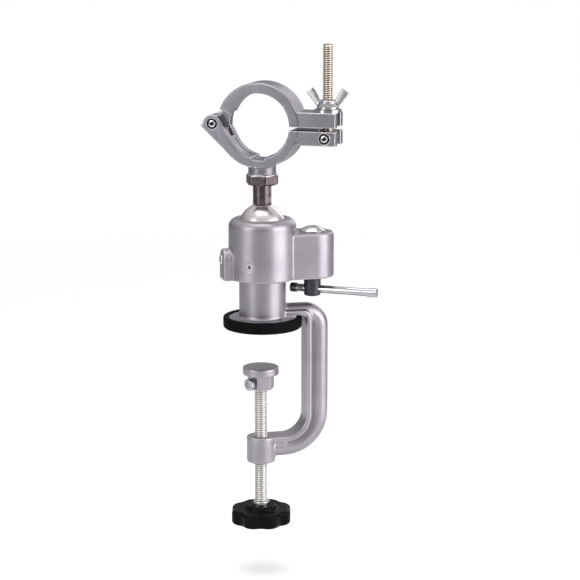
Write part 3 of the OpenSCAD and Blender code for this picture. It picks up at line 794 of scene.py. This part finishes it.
@dataclass
class BallStud(Assembly):
    """Ball with its stud, jam nut and seat.

    Attributes:
        ball_z: Centre of the ball.
        ball_r: Radius of the ball.
        stud_r: Radius of the stud.
        stud_top: Upper end of the stud.
        flat_low: Lower end of the stud's flats.
        flat_high: Upper end of the stud's flats.
        flat_depth: Depth of each flat.
        yaw: Direction of the flats.
        nut_z: Underside of the jam nut.
        nut_h: Height of the jam nut.
        nut_af: Its width across flats.
        nut_turn: Its turn, in degrees.
        corner_cut: How much its corners are rounded off.
        face_lift: How far the bright face stands off its top.
    """

    ball_z: float = 60.8
    ball_r: float = 14.29
    stud_r: float = 5.56
    stud_top: float = 99.7
    flat_low: float = 76.3
    flat_high: float = 85.2
    flat_depth: float = 0.6
    yaw: float = -30.0
    nut_z: float = 86.4
    nut_h: float = 6.6
    nut_af: float = 17.46
    nut_turn: float = 30.0
    corner_cut: float = 0.25
    face_lift: float = 0.04

    def build(self) -> None:
        """Polished ball, dark stud and chamfered nut."""
        self.dress(["ball_seat"], SEAT_PLASTIC)
        self.mount(self._ball(), Body.BALL, Slot.BRIGHT, BALL_CHROME, "ball_stud")
        self.mount(self._stud(), Body.BALL, Slot.DARK, DARK_STEEL)
        body, face = self._nut_outlines()
        self.mount(self._nut(body, 0.0, "jam_nut_chamfered"), Body.BALL, Slot.DARK, DARK_STEEL, "jam_nut")
        self.mount(self._nut(face, self.face_lift, "jam_nut_face"), Body.BALL, Slot.ZINC, ZINC)

    def _ball(self) -> bpy.types.Object:
        """Ball that narrows in a small foot round the stud.

        Returns:
            The ball.
        """
        foot_w, foot_h = 0.84, 0.9
        top = math.degrees(math.asin((self.stud_r + foot_w) / self.ball_r))
        foot_z = self.ball_r * math.cos(math.radians(top))
        profile = [(max(CORE, self.ball_r * math.sin(a)), self.ball_r * math.cos(a))
                   for a in steps(180, top, 60)]
        profile += [(self.stud_r + 0.25, foot_z + 0.5), (self.stud_r - 0.1, foot_z + foot_h),
                    (CORE, foot_z + foot_h)]
        shaper = Shaper()
        shaper.lathe(profile, segments=128, place=Matrix.Translation((0, 0, self.ball_z)))
        return shaper.build("ball_polished")

    def _stud(self) -> bpy.types.Object:
        """Stud with two wrench flats.

        Returns:
            The stud.
        """
        sink, step, chamfer = 2.0, 0.02, 0.8
        low = self.ball_z + self.ball_r - sink
        flat = self.stud_r - self.flat_depth
        yaw = math.radians(self.yaw)

        def turn(radius: float, height: float, angle: float) -> float:
            """Radius cut to the flats."""
            if not self.flat_low <= height <= self.flat_high:
                return radius
            reach = abs(math.cos(angle - yaw))
            return min(radius, flat / reach) if reach > 1e-6 else radius

        heights = [low, self.flat_low - step, self.flat_low, self.flat_high, self.flat_high + step,
                   self.stud_top - chamfer]
        profile = [(CORE, low)] + [(self.stud_r, height) for height in heights]
        profile += [(self.stud_r - chamfer, self.stud_top), (CORE, self.stud_top)]
        shaper = Shaper()
        shaper.lathe(profile, 144, turn)
        return shaper.build("stud_dark")

    def _nut(self, profile: Profile, grow: float, name: str) -> bpy.types.Object:
        """Turned shape cut to the nut's hexagon, with rounded corners.

        Args:
            profile: Its radius and height over the nut's underside.
            grow: How far it stands off the hexagon.
            name: Name of the piece.

        Returns:
            The piece.
        """
        half = self.nut_af / 2
        corner = self.nut_af / math.sqrt(3)

        def turn(radius: float, height: float, angle: float) -> float:
            """Radius cut to the hexagon and its rounded corners."""
            local = angle % (math.pi / 3) - math.pi / 6
            return min(radius, half / math.cos(local) + grow, corner - self.corner_cut + grow)

        shaper = Shaper()
        shaper.lathe(profile, 192, turn, Seat((0, 0, self.nut_z), self.nut_turn).local())
        return shaper.build(name)

    def _nut_outlines(self) -> tuple[Profile, Profile]:
        """Outlines of the nut and of the bright face on its top.

        Returns:
            Both outlines.
        """
        half, corner, h = self.nut_af / 2, self.nut_af / math.sqrt(3), self.nut_h
        straight, blend, face_h = 1.3, 1.15, 0.9
        top = h + self.face_lift
        body = [(CORE, 0.0), (half - 0.8, 0.0), (half - 0.2, 0.12), (corner - 0.1, blend), (corner, straight),
                (corner, h - straight), (corner - 0.1, h - blend), (half - 0.1, h - 0.1), (half - 0.7, h),
                (CORE, h)]
        face = [(CORE, h - face_h), (corner, h - face_h), (half + 0.1, h - 0.02), (half - 0.7, top),
                (CORE, top)]
        return body, face


@dataclass
class HingedRing(Assembly):
    """Two jaws of the ring, with their pins.

    Attributes:
        seat: Frame of the ring.
        voxel: Cell size of the jaws' skin.
        rounds: Rounds of smoothing.
        bore_r: Radius of the bore.
        half_w: Half of the ring's width.
        ear_deg: Direction in which the ears' straight line faces.
        ear_len: Length of that line.
        line_deg: Start and end of the painted shadow line in the bore, in degrees.
        line_back: Its place along the bore's axis.
        line_w: Its width.
        line_depth: Its depth.
        line_lift: How far it stands off the bore.
        hinge: Place of the hinge pin in the ring's frame, x and z.
        swing: Place of the swing pin.
        pin_r: Radius of the pins' shank.
        pin_inset: How far the pins' ends lie under the jaws' sides.
        head_r: Radius of their counterbores.
        head_h: Depth of their heads.
        sink: Depth of the floor round the buttons, where a dark ring of painted shadow lies.
        button_r: Radius of the bright heads.
        socket_r: Corner radius of the dark hexagons painted as shadow in the sockets.
    """

    seat: Seat = field(default_factory=lambda: Seat((0.0, 0.0, 122.2), -30.0))
    voxel: float = 0.33
    rounds: int = 4
    bore_r: float = 19.05
    half_w: float = 9.0
    ear_deg: float = 29.8
    ear_len: float = 17.0
    line_deg: tuple[float, float] = (207.0, 250.0)
    line_back: float = 1.6
    line_w: float = 0.9
    line_depth: float = 0.4
    line_lift: float = 0.05
    hinge: tuple[float, float] = (-28.4, 0.4)
    swing: tuple[float, float] = (40.2, -6.4)
    pin_r: float = 2.0
    pin_inset: float = 0.15
    head_r: float = 3.08
    head_h: float = 1.4
    sink: float = 0.75
    button_r: float = 2.2
    socket_r: float = 1.25

    def build(self) -> None:
        """Jaws with soft edges, a painted shadow line in the bore, bright pins with painted shadow in their
        sockets and round their heads.
        """
        jaw = Workshop.soft_copy("lower_jaw", self.voxel, self.rounds, self.seat, [self._ear_cutter()])
        self.mount(jaw, Body.RING, Slot.RING, RING_ALUMINIUM, "lower_jaw")
        jaw = Workshop.soft_copy("upper_jaw", self.voxel, self.rounds, self.seat)
        self.mount(jaw, Body.JAW, Slot.RING, RING_ALUMINIUM, "upper_jaw")
        # A dark arc paints the shadow of a step in the bore
        self.mount(self._bore_shadow_line(), Body.RING, Slot.DARK, PAINTED_SHADOW)
        for node, place in (("hinge_pin", self.hinge), ("eyebolt_pin", self.swing)):
            self._pin(node, place)

    def _ear_cutter(self) -> bpy.types.Object:
        """Block that leaves the clevis ears a straight line from knuckle to bore.

        Returns:
            The cutter.
        """
        overrun = 2.0
        facing = math.radians(self.ear_deg)
        out = Vector((math.cos(facing), 0, math.sin(facing)))
        along = Vector((-math.sin(facing), 0, math.cos(facing)))
        corners = [(-self.bore_r, 0), (-self.bore_r, self.ear_len), (-overrun, self.ear_len), (-overrun, 0)]
        side = self.half_w + overrun
        shaper = Shaper()
        shaper.grid([[self.seat.local() @ (out * u + along * v + Vector((0, y, 0))) for u, v in corners]
                     for y in (-side, side)])
        return shaper.build("ear_cutter")

    def _bore_shadow_line(self) -> bpy.types.Object:
        """Thin dark arc let into the bore: painted shadow of a step in the bore.

        Returns:
            The line.
        """
        half = self.line_w / 2
        section = [(-self.line_lift, -half), (self.line_depth, -half), (self.line_depth, half),
                   (-self.line_lift, half)]
        rings = []
        for angle in steps(*self.line_deg, 40):
            out = Vector((math.cos(angle), 0, math.sin(angle)))
            rings.append([self.seat.local() @ (out * (self.bore_r + u) + Vector((0, self.line_back + v, 0)))
                          for u, v in section])
        shaper = Shaper()
        shaper.grid(rings)
        return shaper.build("bore_shadow_line")

    def _pin(self, node: str, place: tuple[float, float]) -> None:
        """Pin with bright button heads, and painted shadow: dark hexagons in its sockets and dark rings round
        its heads.

        Args:
            node: CAD node that it stands for.
            place: Its x and z in the ring's frame.
        """
        lay = self.seat.local() @ Matrix.Translation((place[0], 0, place[1])) @ LAID
        half = self.half_w - self.pin_inset
        under, floor, bevel = half - self.head_h, half - self.sink, 0.3
        rim = [(self.pin_r, under), (self.head_r, under), (self.head_r, floor), (self.button_r + 0.05, floor),
               (self.button_r, half - bevel), (self.button_r - bevel, half)]
        shank = [(r, -h) for r, h in reversed(rim)] + rim
        bright = Shaper()
        bright.lathe([(CORE, -half), *shank, (CORE, half)], segments=48, place=lay)
        # Painted shadow: a dark hexagon in each socket and a dark ring on the floor round each head
        low, high = half - 0.4, half + 0.03
        socket = [(CORE, low), (self.socket_r, low), (self.socket_r, high), (CORE, high)]
        low, high, inner = floor + 0.01, floor + 0.25, self.button_r + 0.1
        ring = [(inner, low), (self.head_r, low), (self.head_r, high), (inner, high)]
        dark = Shaper()
        for side in (1, -1):
            turned = lay @ Matrix.Scale(side, 4, Vector((0, 0, 1)))
            dark.lathe(socket, segments=6, place=turned)
            dark.band(ring, turned)
        self.mount(bright.build(f"{node}_button"), Body.RING, Slot.BRIGHT, CHROME, node)
        self.mount(dark.build(f"{node}_socket"), Body.RING, Slot.DARK, PAINTED_SHADOW)


@dataclass
class SwingBolt(Assembly):
    """Eye bolt with its thread, washer and wing nut.

    Attributes:
        axis: Place of the bolt's axis.
        yaw: Direction of the ring.
        pin_z: Height of the swing pin.
        rod_top: Upper end of the bolt.
        thread: Its thread.
        eye_r: Radius of the eye.
        eye_t: Thickness of the eye.
        hole_r: Hole in the eye.
        nut_z: Underside of the wing nut.
        hub_r: Radius of its hub.
        hub_h: Height of its hub.
        span: Width over the wings.
        height: Height of the wings.
        wing_t: Thickness of a wing.
        wing_yaw: Direction of the wings.
        wing_power: How square a wing's section is, 1 for an ellipse and 0 for a rectangle.
        voxel: Cell size of the wing nut's skin.
        rounds: Rounds of smoothing of the wing nut.
    """

    axis: tuple[float, float] = (34.814, -20.1)
    yaw: float = -30.0
    pin_z: float = 115.8
    rod_top: float = 170.2
    thread: Thread = Thread(3.17, 1.27, 0.62)
    eye_r: float = 4.6
    eye_t: float = 6.2
    hole_r: float = 2.06
    nut_z: float = 132.4
    hub_r: float = 6.6
    hub_h: float = 5.0
    span: float = 26.8
    height: float = 12.6
    wing_t: float = 2.5
    wing_yaw: float = -33.0
    wing_power: float = 0.35
    voxel: float = 0.24
    rounds: int = 3

    def build(self) -> None:
        """Threaded bolt, plated washer and cast wing nut."""
        self.mount(self._bolt(), Body.SWING_BOLT, Slot.YELLOW, YELLOW_ZINC, "eye_bolt")
        self.dress(["jaw_washer"], CHROME)
        self.mount(self._wing_nut(), Body.WING, Slot.BRIGHT, WING_ZINC, "wing_nut")

    def _bolt(self) -> bpy.types.Object:
        """Rod with its thread, and an eye with its hole.

        Returns:
            The bolt.
        """
        sink, bevel = 0.8, 0.4
        shaper = Shaper()
        self.thread.rod(shaper, self.pin_z + self.eye_r - sink, self.rod_top,
                        place=Matrix.Translation((*self.axis, 0)))
        half = self.eye_t / 2
        outline = [(self.hole_r, -half), (self.eye_r - bevel, -half), (self.eye_r, -half + bevel),
                   (self.eye_r, half - bevel), (self.eye_r - bevel, half), (self.hole_r, half)]
        shaper.band(outline, Seat((*self.axis, self.pin_z), self.yaw).local() @ LAID)
        return shaper.build("eye_bolt_threaded")

    def _wing_nut(self) -> bpy.types.Object:
        """Cast wing nut: a flared hub and two leaning wings.

        Returns:
            The wing nut.
        """
        shaper = Shaper()
        r, h, collar = self.hub_r, self.hub_h, 0.5
        profile = [(CORE, 0.0), (r - 0.6, 0.0), (r - 0.1, 0.5), (r - 0.2, 1.4), (5.7, 2.6), (5.0, 3.9),
                   (4.7, h), (4.2, h + collar), (CORE, h + collar)]
        shaper.lathe(profile, segments=64)
        for side in (0, math.pi):
            self._wing(shaper, Matrix.Rotation(side, 4, "Z"))
        nut = Workshop.soften(shaper.build("wing_nut_cast"), self.voxel, self.rounds)
        nut.data.transform(Seat((*self.axis, self.nut_z), self.wing_yaw).matrix())
        return nut

    def _wing(self, shaper: Shaper, place: Matrix) -> None:
        """One wing: a leaning plate that widens outward, with rounded edges.

        Args:
            shaper: Collects the shape.
            place: Turn of the wing about the nut's axis.
        """
        # Place outward, height and width of each section, from the hub to the tip
        sections = [(3.2, 1.7, 3.4), (5.0, 2.7, 3.6), (6.5, 4.6, 3.9), (7.9, 6.9, 4.4), (9.5, 9.3, 4.9),
                    (self.span / 2 - 2.4, self.height - 1.4, 4.7)]
        rings = []
        for index, (x, z, width) in enumerate(sections):
            before = sections[max(0, index - 1)]
            after = sections[min(len(sections) - 1, index + 1)]
            along = Vector((after[0] - before[0], 0, after[1] - before[1])).normalized()
            across = Vector((along.z, 0, -along.x))
            ring = []
            for angle in steps(0, 360, 32)[:-1]:
                wide, deep = (math.copysign(abs(share) ** self.wing_power, share)
                              for share in (math.cos(angle), math.sin(angle)))
                ring.append(place @ (Vector((x, self.wing_t / 2 * deep, z)) + across * width / 2 * wide))
            rings.append(ring)
        shaper.grid(rings)


@dataclass
class TeeHandle(Assembly):
    """Black tee nut with its sliding bar.

    Attributes:
        voxel: Cell size of the nut's skin.
        rounds: Rounds of smoothing of the nut.
    """

    voxel: float = 0.25
    rounds: int = 3

    def build(self) -> None:
        """Nut with soft edges, chromed bar and dark stop."""
        nut = Workshop.soft_copy("tee_nut", self.voxel, self.rounds)
        self.mount(nut, Body.TEE, Slot.BLACK_STEEL, BLACK_OXIDE, "tee_nut")
        self.dress(["tee_washer"], ZINC)
        self.dress(["tommy_bar"], BAR_CHROME)
        self.dress(["bar_stop"], DARK_STEEL)


@dataclass
class ClampScrew(Assembly):
    """Clamp screw with its pad and pad screw.

    Attributes:
        axis_x: Axis of the screw.
        low: Lower end.
        high: Upper end.
        groove: Stretch of the pad screw's groove and its radius.
        thread: Its thread.
        pad_voxel: Cell size of the pad's skin.
        pad_rounds: Rounds of smoothing of the pad.
    """

    axis_x: float = -1.2
    low: float = -120.5
    high: float = -30.5
    groove: tuple[float, float, float] = (-36.04, -32.60, 2.97)
    thread: Thread = Thread(3.97, 1.411, 0.72, segments=44)
    pad_voxel: float = 0.35
    pad_rounds: int = 3

    def build(self) -> None:
        """Threaded screw, soft-edged pad and bright pad screw."""
        shaper = Shaper()
        self.thread.rod(shaper, self.low, self.high, [self.groove], Matrix.Translation((self.axis_x, 0, 0)))
        self.mount(shaper.build("clamp_screw_threaded"), Body.SCREW, Slot.ZINC, THREADED_ZINC, "clamp_screw")
        pad = Workshop.soft_copy("pressure_pad", self.pad_voxel, self.pad_rounds)
        self.mount(pad, Body.PAD, Slot.CAST, CAST_ALUMINIUM, "pressure_pad")
        self.dress(["pad_screw"], BAR_CHROME)


@dataclass
class Knob(Assembly):
    """Moulded knob with its metal insert.

    Attributes:
        axis_x: Axis of the knob.
        low: Underside.
        body_h: Height of the lobed body.
        hub_h: Height of the raised hub over the body.
        radius: Radius over the lobes.
        wave: Depth of the valleys.
        lobes: Number of lobes.
        phase: Share of a lobe by which they are turned.
        hub_r: Radius of the raised hub.
        bore_r: Radius of the insert's hole.
        bore_low: Floor of that hole over the underside.
        low_round: Rounding of the lower edge.
        top_round: Rounding of the upper edge.
        valley_power: How narrow the valleys are, 1 for a plain wave.
    """

    axis_x: float = -1.2
    low: float = -122.5
    body_h: float = 9.0
    hub_h: float = 2.0
    radius: float = 18.9
    wave: float = 2.0
    lobes: int = 8
    phase: float = 0.2
    hub_r: float = 9.6
    bore_r: float = 5.03
    bore_low: float = 2.0
    low_round: float = 2.2
    top_round: float = 2.4
    valley_power: float = 1.3

    def build(self) -> None:
        """Lobed body with rolled edges and a raised hub."""
        lobe = 2 * math.pi / self.lobes
        smooth_r = self.hub_r + 1.5

        def turn(radius: float, height: float, angle: float) -> float:
            """Radius less the valleys, which fade toward the hub."""
            share = max(0.0, (radius - smooth_r) / (self.radius - smooth_r))
            wave = 0.5 - 0.5 * math.cos((angle - self.phase * lobe) * self.lobes)
            return radius - self.wave * share * wave ** self.valley_power

        shaper = Shaper()
        shaper.lathe(self._profile(), 192, turn, Matrix.Translation((self.axis_x, 0, self.low)))
        self.mount(shaper.build("knob_moulded"), Body.SCREW, Slot.PLASTIC, PLASTIC, "knob")
        self.dress(["knob_insert"], ZINC)

    def _profile(self) -> list[tuple[float, float]]:
        """Outline through a lobe, from the hollow underside up to the hole's floor.

        Returns:
            Points of radius and height.
        """
        r, h, low_r, top_r = self.radius, self.body_h, self.low_round, self.top_round
        top = h + self.hub_h
        points = [(CORE, 1.0), (r - 7.0, 1.0), (r - 6.4, 0.35), (r - 5.4, 0.0), (r - low_r, 0.0)]
        points += [(r - low_r + low_r * math.sin(a), low_r - low_r * math.cos(a)) for a in steps(10, 90, 6)]
        points += [(r - top_r + top_r * math.cos(a), h - top_r + top_r * math.sin(a))
                   for a in steps(0, 80, 7)]
        points += [(r - 3.4, h), (self.hub_r + 2.6, h - 0.7), (self.hub_r + 0.9, h - 0.5),
                   (self.hub_r + 0.2, h), (self.hub_r - 0.1, top - 0.7), (self.hub_r - 0.7, top),
                   (self.bore_r + 0.5, top),
                   (self.bore_r, top - 0.4), (self.bore_r, self.bore_low), (CORE, self.bore_low)]
        return points


# Studio


@dataclass(frozen=True)
class Softbox:
    """One area light.

    Attributes:
        name: Name of the light.
        at: Its place, in metres.
        size: Width and height, in metres.
        power: Power in watts.
        color: Its colour.
    """

    name: str
    at: tuple[float, float, float]
    size: tuple[float, float]
    power: float
    color: tuple[float, float, float] = (1.0, 1.0, 1.0)

    def build(self, target: Vector) -> None:
        """Adds the light, aimed at a point.

        Args:
            target: Point that it faces.
        """
        data = bpy.data.lights.new(self.name, "AREA")
        data.shape = "RECTANGLE"
        data.size, data.size_y = self.size
        data.energy = self.power
        data.color = self.color
        lamp = bpy.data.objects.new(self.name, data)
        lamp.location = self.at
        lamp.visible_camera = False
        lamp.rotation_euler = (target - Vector(self.at)).to_track_quat("-Z", "Y").to_euler()
        bpy.context.scene.collection.objects.link(lamp)


@dataclass
class Studio:
    """Camera, pale floor, soft light and white background.

    Attributes:
        azimuth: Camera's turn from the front, negative to the left, in degrees.
        elevation: Camera's height angle, in degrees.
        distance: Camera's distance from its target, in metres.
        view_deg: Angle of view over the picture's width, in degrees.
        aim: Point in the middle of the picture: to the right and up, in millimetres.
        floor_z: Height of the floor, in millimetres, clear of the knob when the screw is run out.
        floor_glow: Light that the floor adds for the camera alone, so that it is white.
        floor_color: Its colour.
        floor_half: Half of its side, in metres.
        floor_fade: Distances from the middle over which it fades, in metres.
        room: Heights and brightness of the room in reflections.
        room_light: Even light of the room.
        lit_point: Point that the lights face, in metres.
        lights: Area lights.
    """

    azimuth: float = -13.5
    elevation: float = 11.8
    distance: float = 1.15
    view_deg: float = 17.2
    aim: tuple[float, float] = (16.5, 22.5)
    floor_z: float = -152.4
    floor_glow: float = 0.25
    floor_color: tuple[float, float, float, float] = (0.95, 0.95, 0.955, 1.0)
    floor_half: float = 1.6
    floor_fade: tuple[float, float] = (0.35, 1.2)
    room: tuple[tuple[float, float], ...] = (
        (0.0, 0.40), (0.42, 0.34), (0.50, 0.16), (0.58, 0.22), (0.72, 0.55), (1.0, 0.9))
    room_light: float = 0.38
    lit_point: tuple[float, float, float] = (0.0, 0.0, 0.02)
    lights: tuple[Softbox, ...] = (
        Softbox("key_left", (-1.05, -0.55, 0.35), (0.5, 1.1), 4.8),
        Softbox("fill_right", (0.87, -0.72, 0.2), (1.0, 1.2), 12.0, (1.0, 0.965, 0.98)),
        Softbox("rim_right", (0.8, 0.85, 0.4), (0.7, 0.7), 1.8),
        Softbox("top", (0.0, 0.1, 1.3), (1.0, 1.0), 8.0),
    )

    def build(self) -> None:
        """Sets up the whole studio."""
        scene = bpy.context.scene
        scene.view_settings.view_transform = "Standard"
        self._world(scene)
        self._floor()
        for light in self.lights:
            light.build(Vector(self.lit_point))
        self._camera(scene)

    def _camera(self, scene: bpy.types.Scene) -> None:
        """Places the camera.

        Args:
            scene: Scene that takes it.
        """
        turn, rise = math.radians(self.azimuth), math.radians(self.elevation)
        right = Vector((math.cos(turn), math.sin(turn), 0))
        back = Vector((math.sin(turn) * math.cos(rise), -math.cos(turn) * math.cos(rise), math.sin(rise)))
        target = right * self.aim[0] * MM + Vector((0, 0, self.aim[1] * MM))
        sensor = 36.0
        data = bpy.data.cameras.new("camera")
        data.sensor_width = sensor
        data.lens = sensor / 2 / math.tan(math.radians(self.view_deg / 2))
        data.clip_start, data.clip_end = 0.05, 60.0
        camera = bpy.data.objects.new("camera", data)
        camera.location = target + back * self.distance
        facing = (-back).to_track_quat("-Z", "Y").to_matrix().to_4x4()
        camera.matrix_world = Matrix.Translation(camera.location) @ facing
        scene.collection.objects.link(camera)
        scene.camera = camera

    def _world(self, scene: bpy.types.Scene) -> None:
        """White behind the object, softer and graded in reflections.

        Args:
            scene: Scene that takes the world.
        """
        world = bpy.data.worlds.new("studio")
        world.use_nodes = True
        graph = Graph(world.node_tree)
        path = graph.node("ShaderNodeLightPath")
        split = graph.node("ShaderNodeSeparateXYZ")
        graph.link(graph.node("ShaderNodeTexCoord").outputs["Generated"], split.inputs["Vector"])
        ramp = graph.node("ShaderNodeValToRGB")
        while len(ramp.color_ramp.elements) < len(self.room):
            ramp.color_ramp.elements.new(0.5)
        for element, (where, level) in zip(ramp.color_ramp.elements, self.room):
            element.position = where
            element.color = (level, level * 0.985, level, 1)
        graph.link(graph.ranged(split.outputs["Z"], -1.0, 1.0), ramp.inputs["Fac"])
        graded = graph.node("ShaderNodeBackground", in_Strength=1.0)
        graph.link(ramp.outputs["Color"], graded.inputs["Color"])
        plain = graph.node("ShaderNodeBackground", in_Color=WHITE, in_Strength=self.room_light)
        white = graph.node("ShaderNodeBackground", in_Color=WHITE, in_Strength=1.0)
        lit = graph.mixed(path.outputs["Is Glossy Ray"], plain.outputs["Background"],
                          graded.outputs["Background"])
        seen = graph.mixed(path.outputs["Is Camera Ray"], lit, white.outputs["Background"])
        out = graph.node("ShaderNodeOutputWorld")
        graph.link(seen, out.inputs["Surface"])
        scene.world = world

    def _floor(self) -> None:
        """Pale floor that fades into the white background."""
        size, z = self.floor_half, self.floor_z * MM
        corners = [(-size, -size, z), (size, -size, z), (size, size, z), (-size, size, z)]
        mesh = bpy.data.meshes.new("floor")
        mesh.from_pydata(corners, [], [(0, 1, 2, 3)])
        floor = Workshop.add("floor", mesh, smooth=False)
        material = bpy.data.materials.new("pale_floor")
        material.use_nodes = True
        graph = Graph(material.node_tree)
        place = graph.node("ShaderNodeTexCoord").outputs["Object"]
        lit = graph.node("ShaderNodeBsdfDiffuse", in_Color=self.floor_color)
        glow = graph.node("ShaderNodeEmission", in_Color=WHITE, in_Strength=self.floor_glow)
        both = graph.node("ShaderNodeAddShader")
        graph.link(lit.outputs["BSDF"], both.inputs[0])
        graph.link(glow.outputs["Emission"], both.inputs[1])
        path = graph.node("ShaderNodeLightPath")
        seen = graph.mixed(path.outputs["Is Camera Ray"], lit.outputs["BSDF"], both.outputs["Shader"])
        clear = graph.node("ShaderNodeBsdfTransparent")
        fade = graph.ranged(graph.length(place), *self.floor_fade)
        out = graph.node("ShaderNodeOutputMaterial")
        graph.link(graph.mixed(fade, seen, clear.outputs["BSDF"]), out.inputs["Surface"])
        mesh.materials.append(material)


@dataclass
class SwivelVise:
    """The whole vise.

    Attributes:
        assemblies: Its sub-assemblies.
    """

    assemblies: tuple[Assembly, ...] = field(default_factory=lambda: (
        BaseFrame(), ClampCap(), BallStud(), HingedRing(), SwingBolt(), TeeHandle(), ClampScrew(), Knob()))

    def build(self) -> None:
        """Dresses every sub-assembly."""
        for assembly in self.assemblies:
            log.info("building %s", type(assembly).__name__)
            assembly.build()


def main() -> None:
    """Builds the vise and its studio."""
    logging.basicConfig(level=logging.INFO)
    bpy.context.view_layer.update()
    SwivelVise().build()
    Studio().build()


if __name__ == "__main__":
    main()
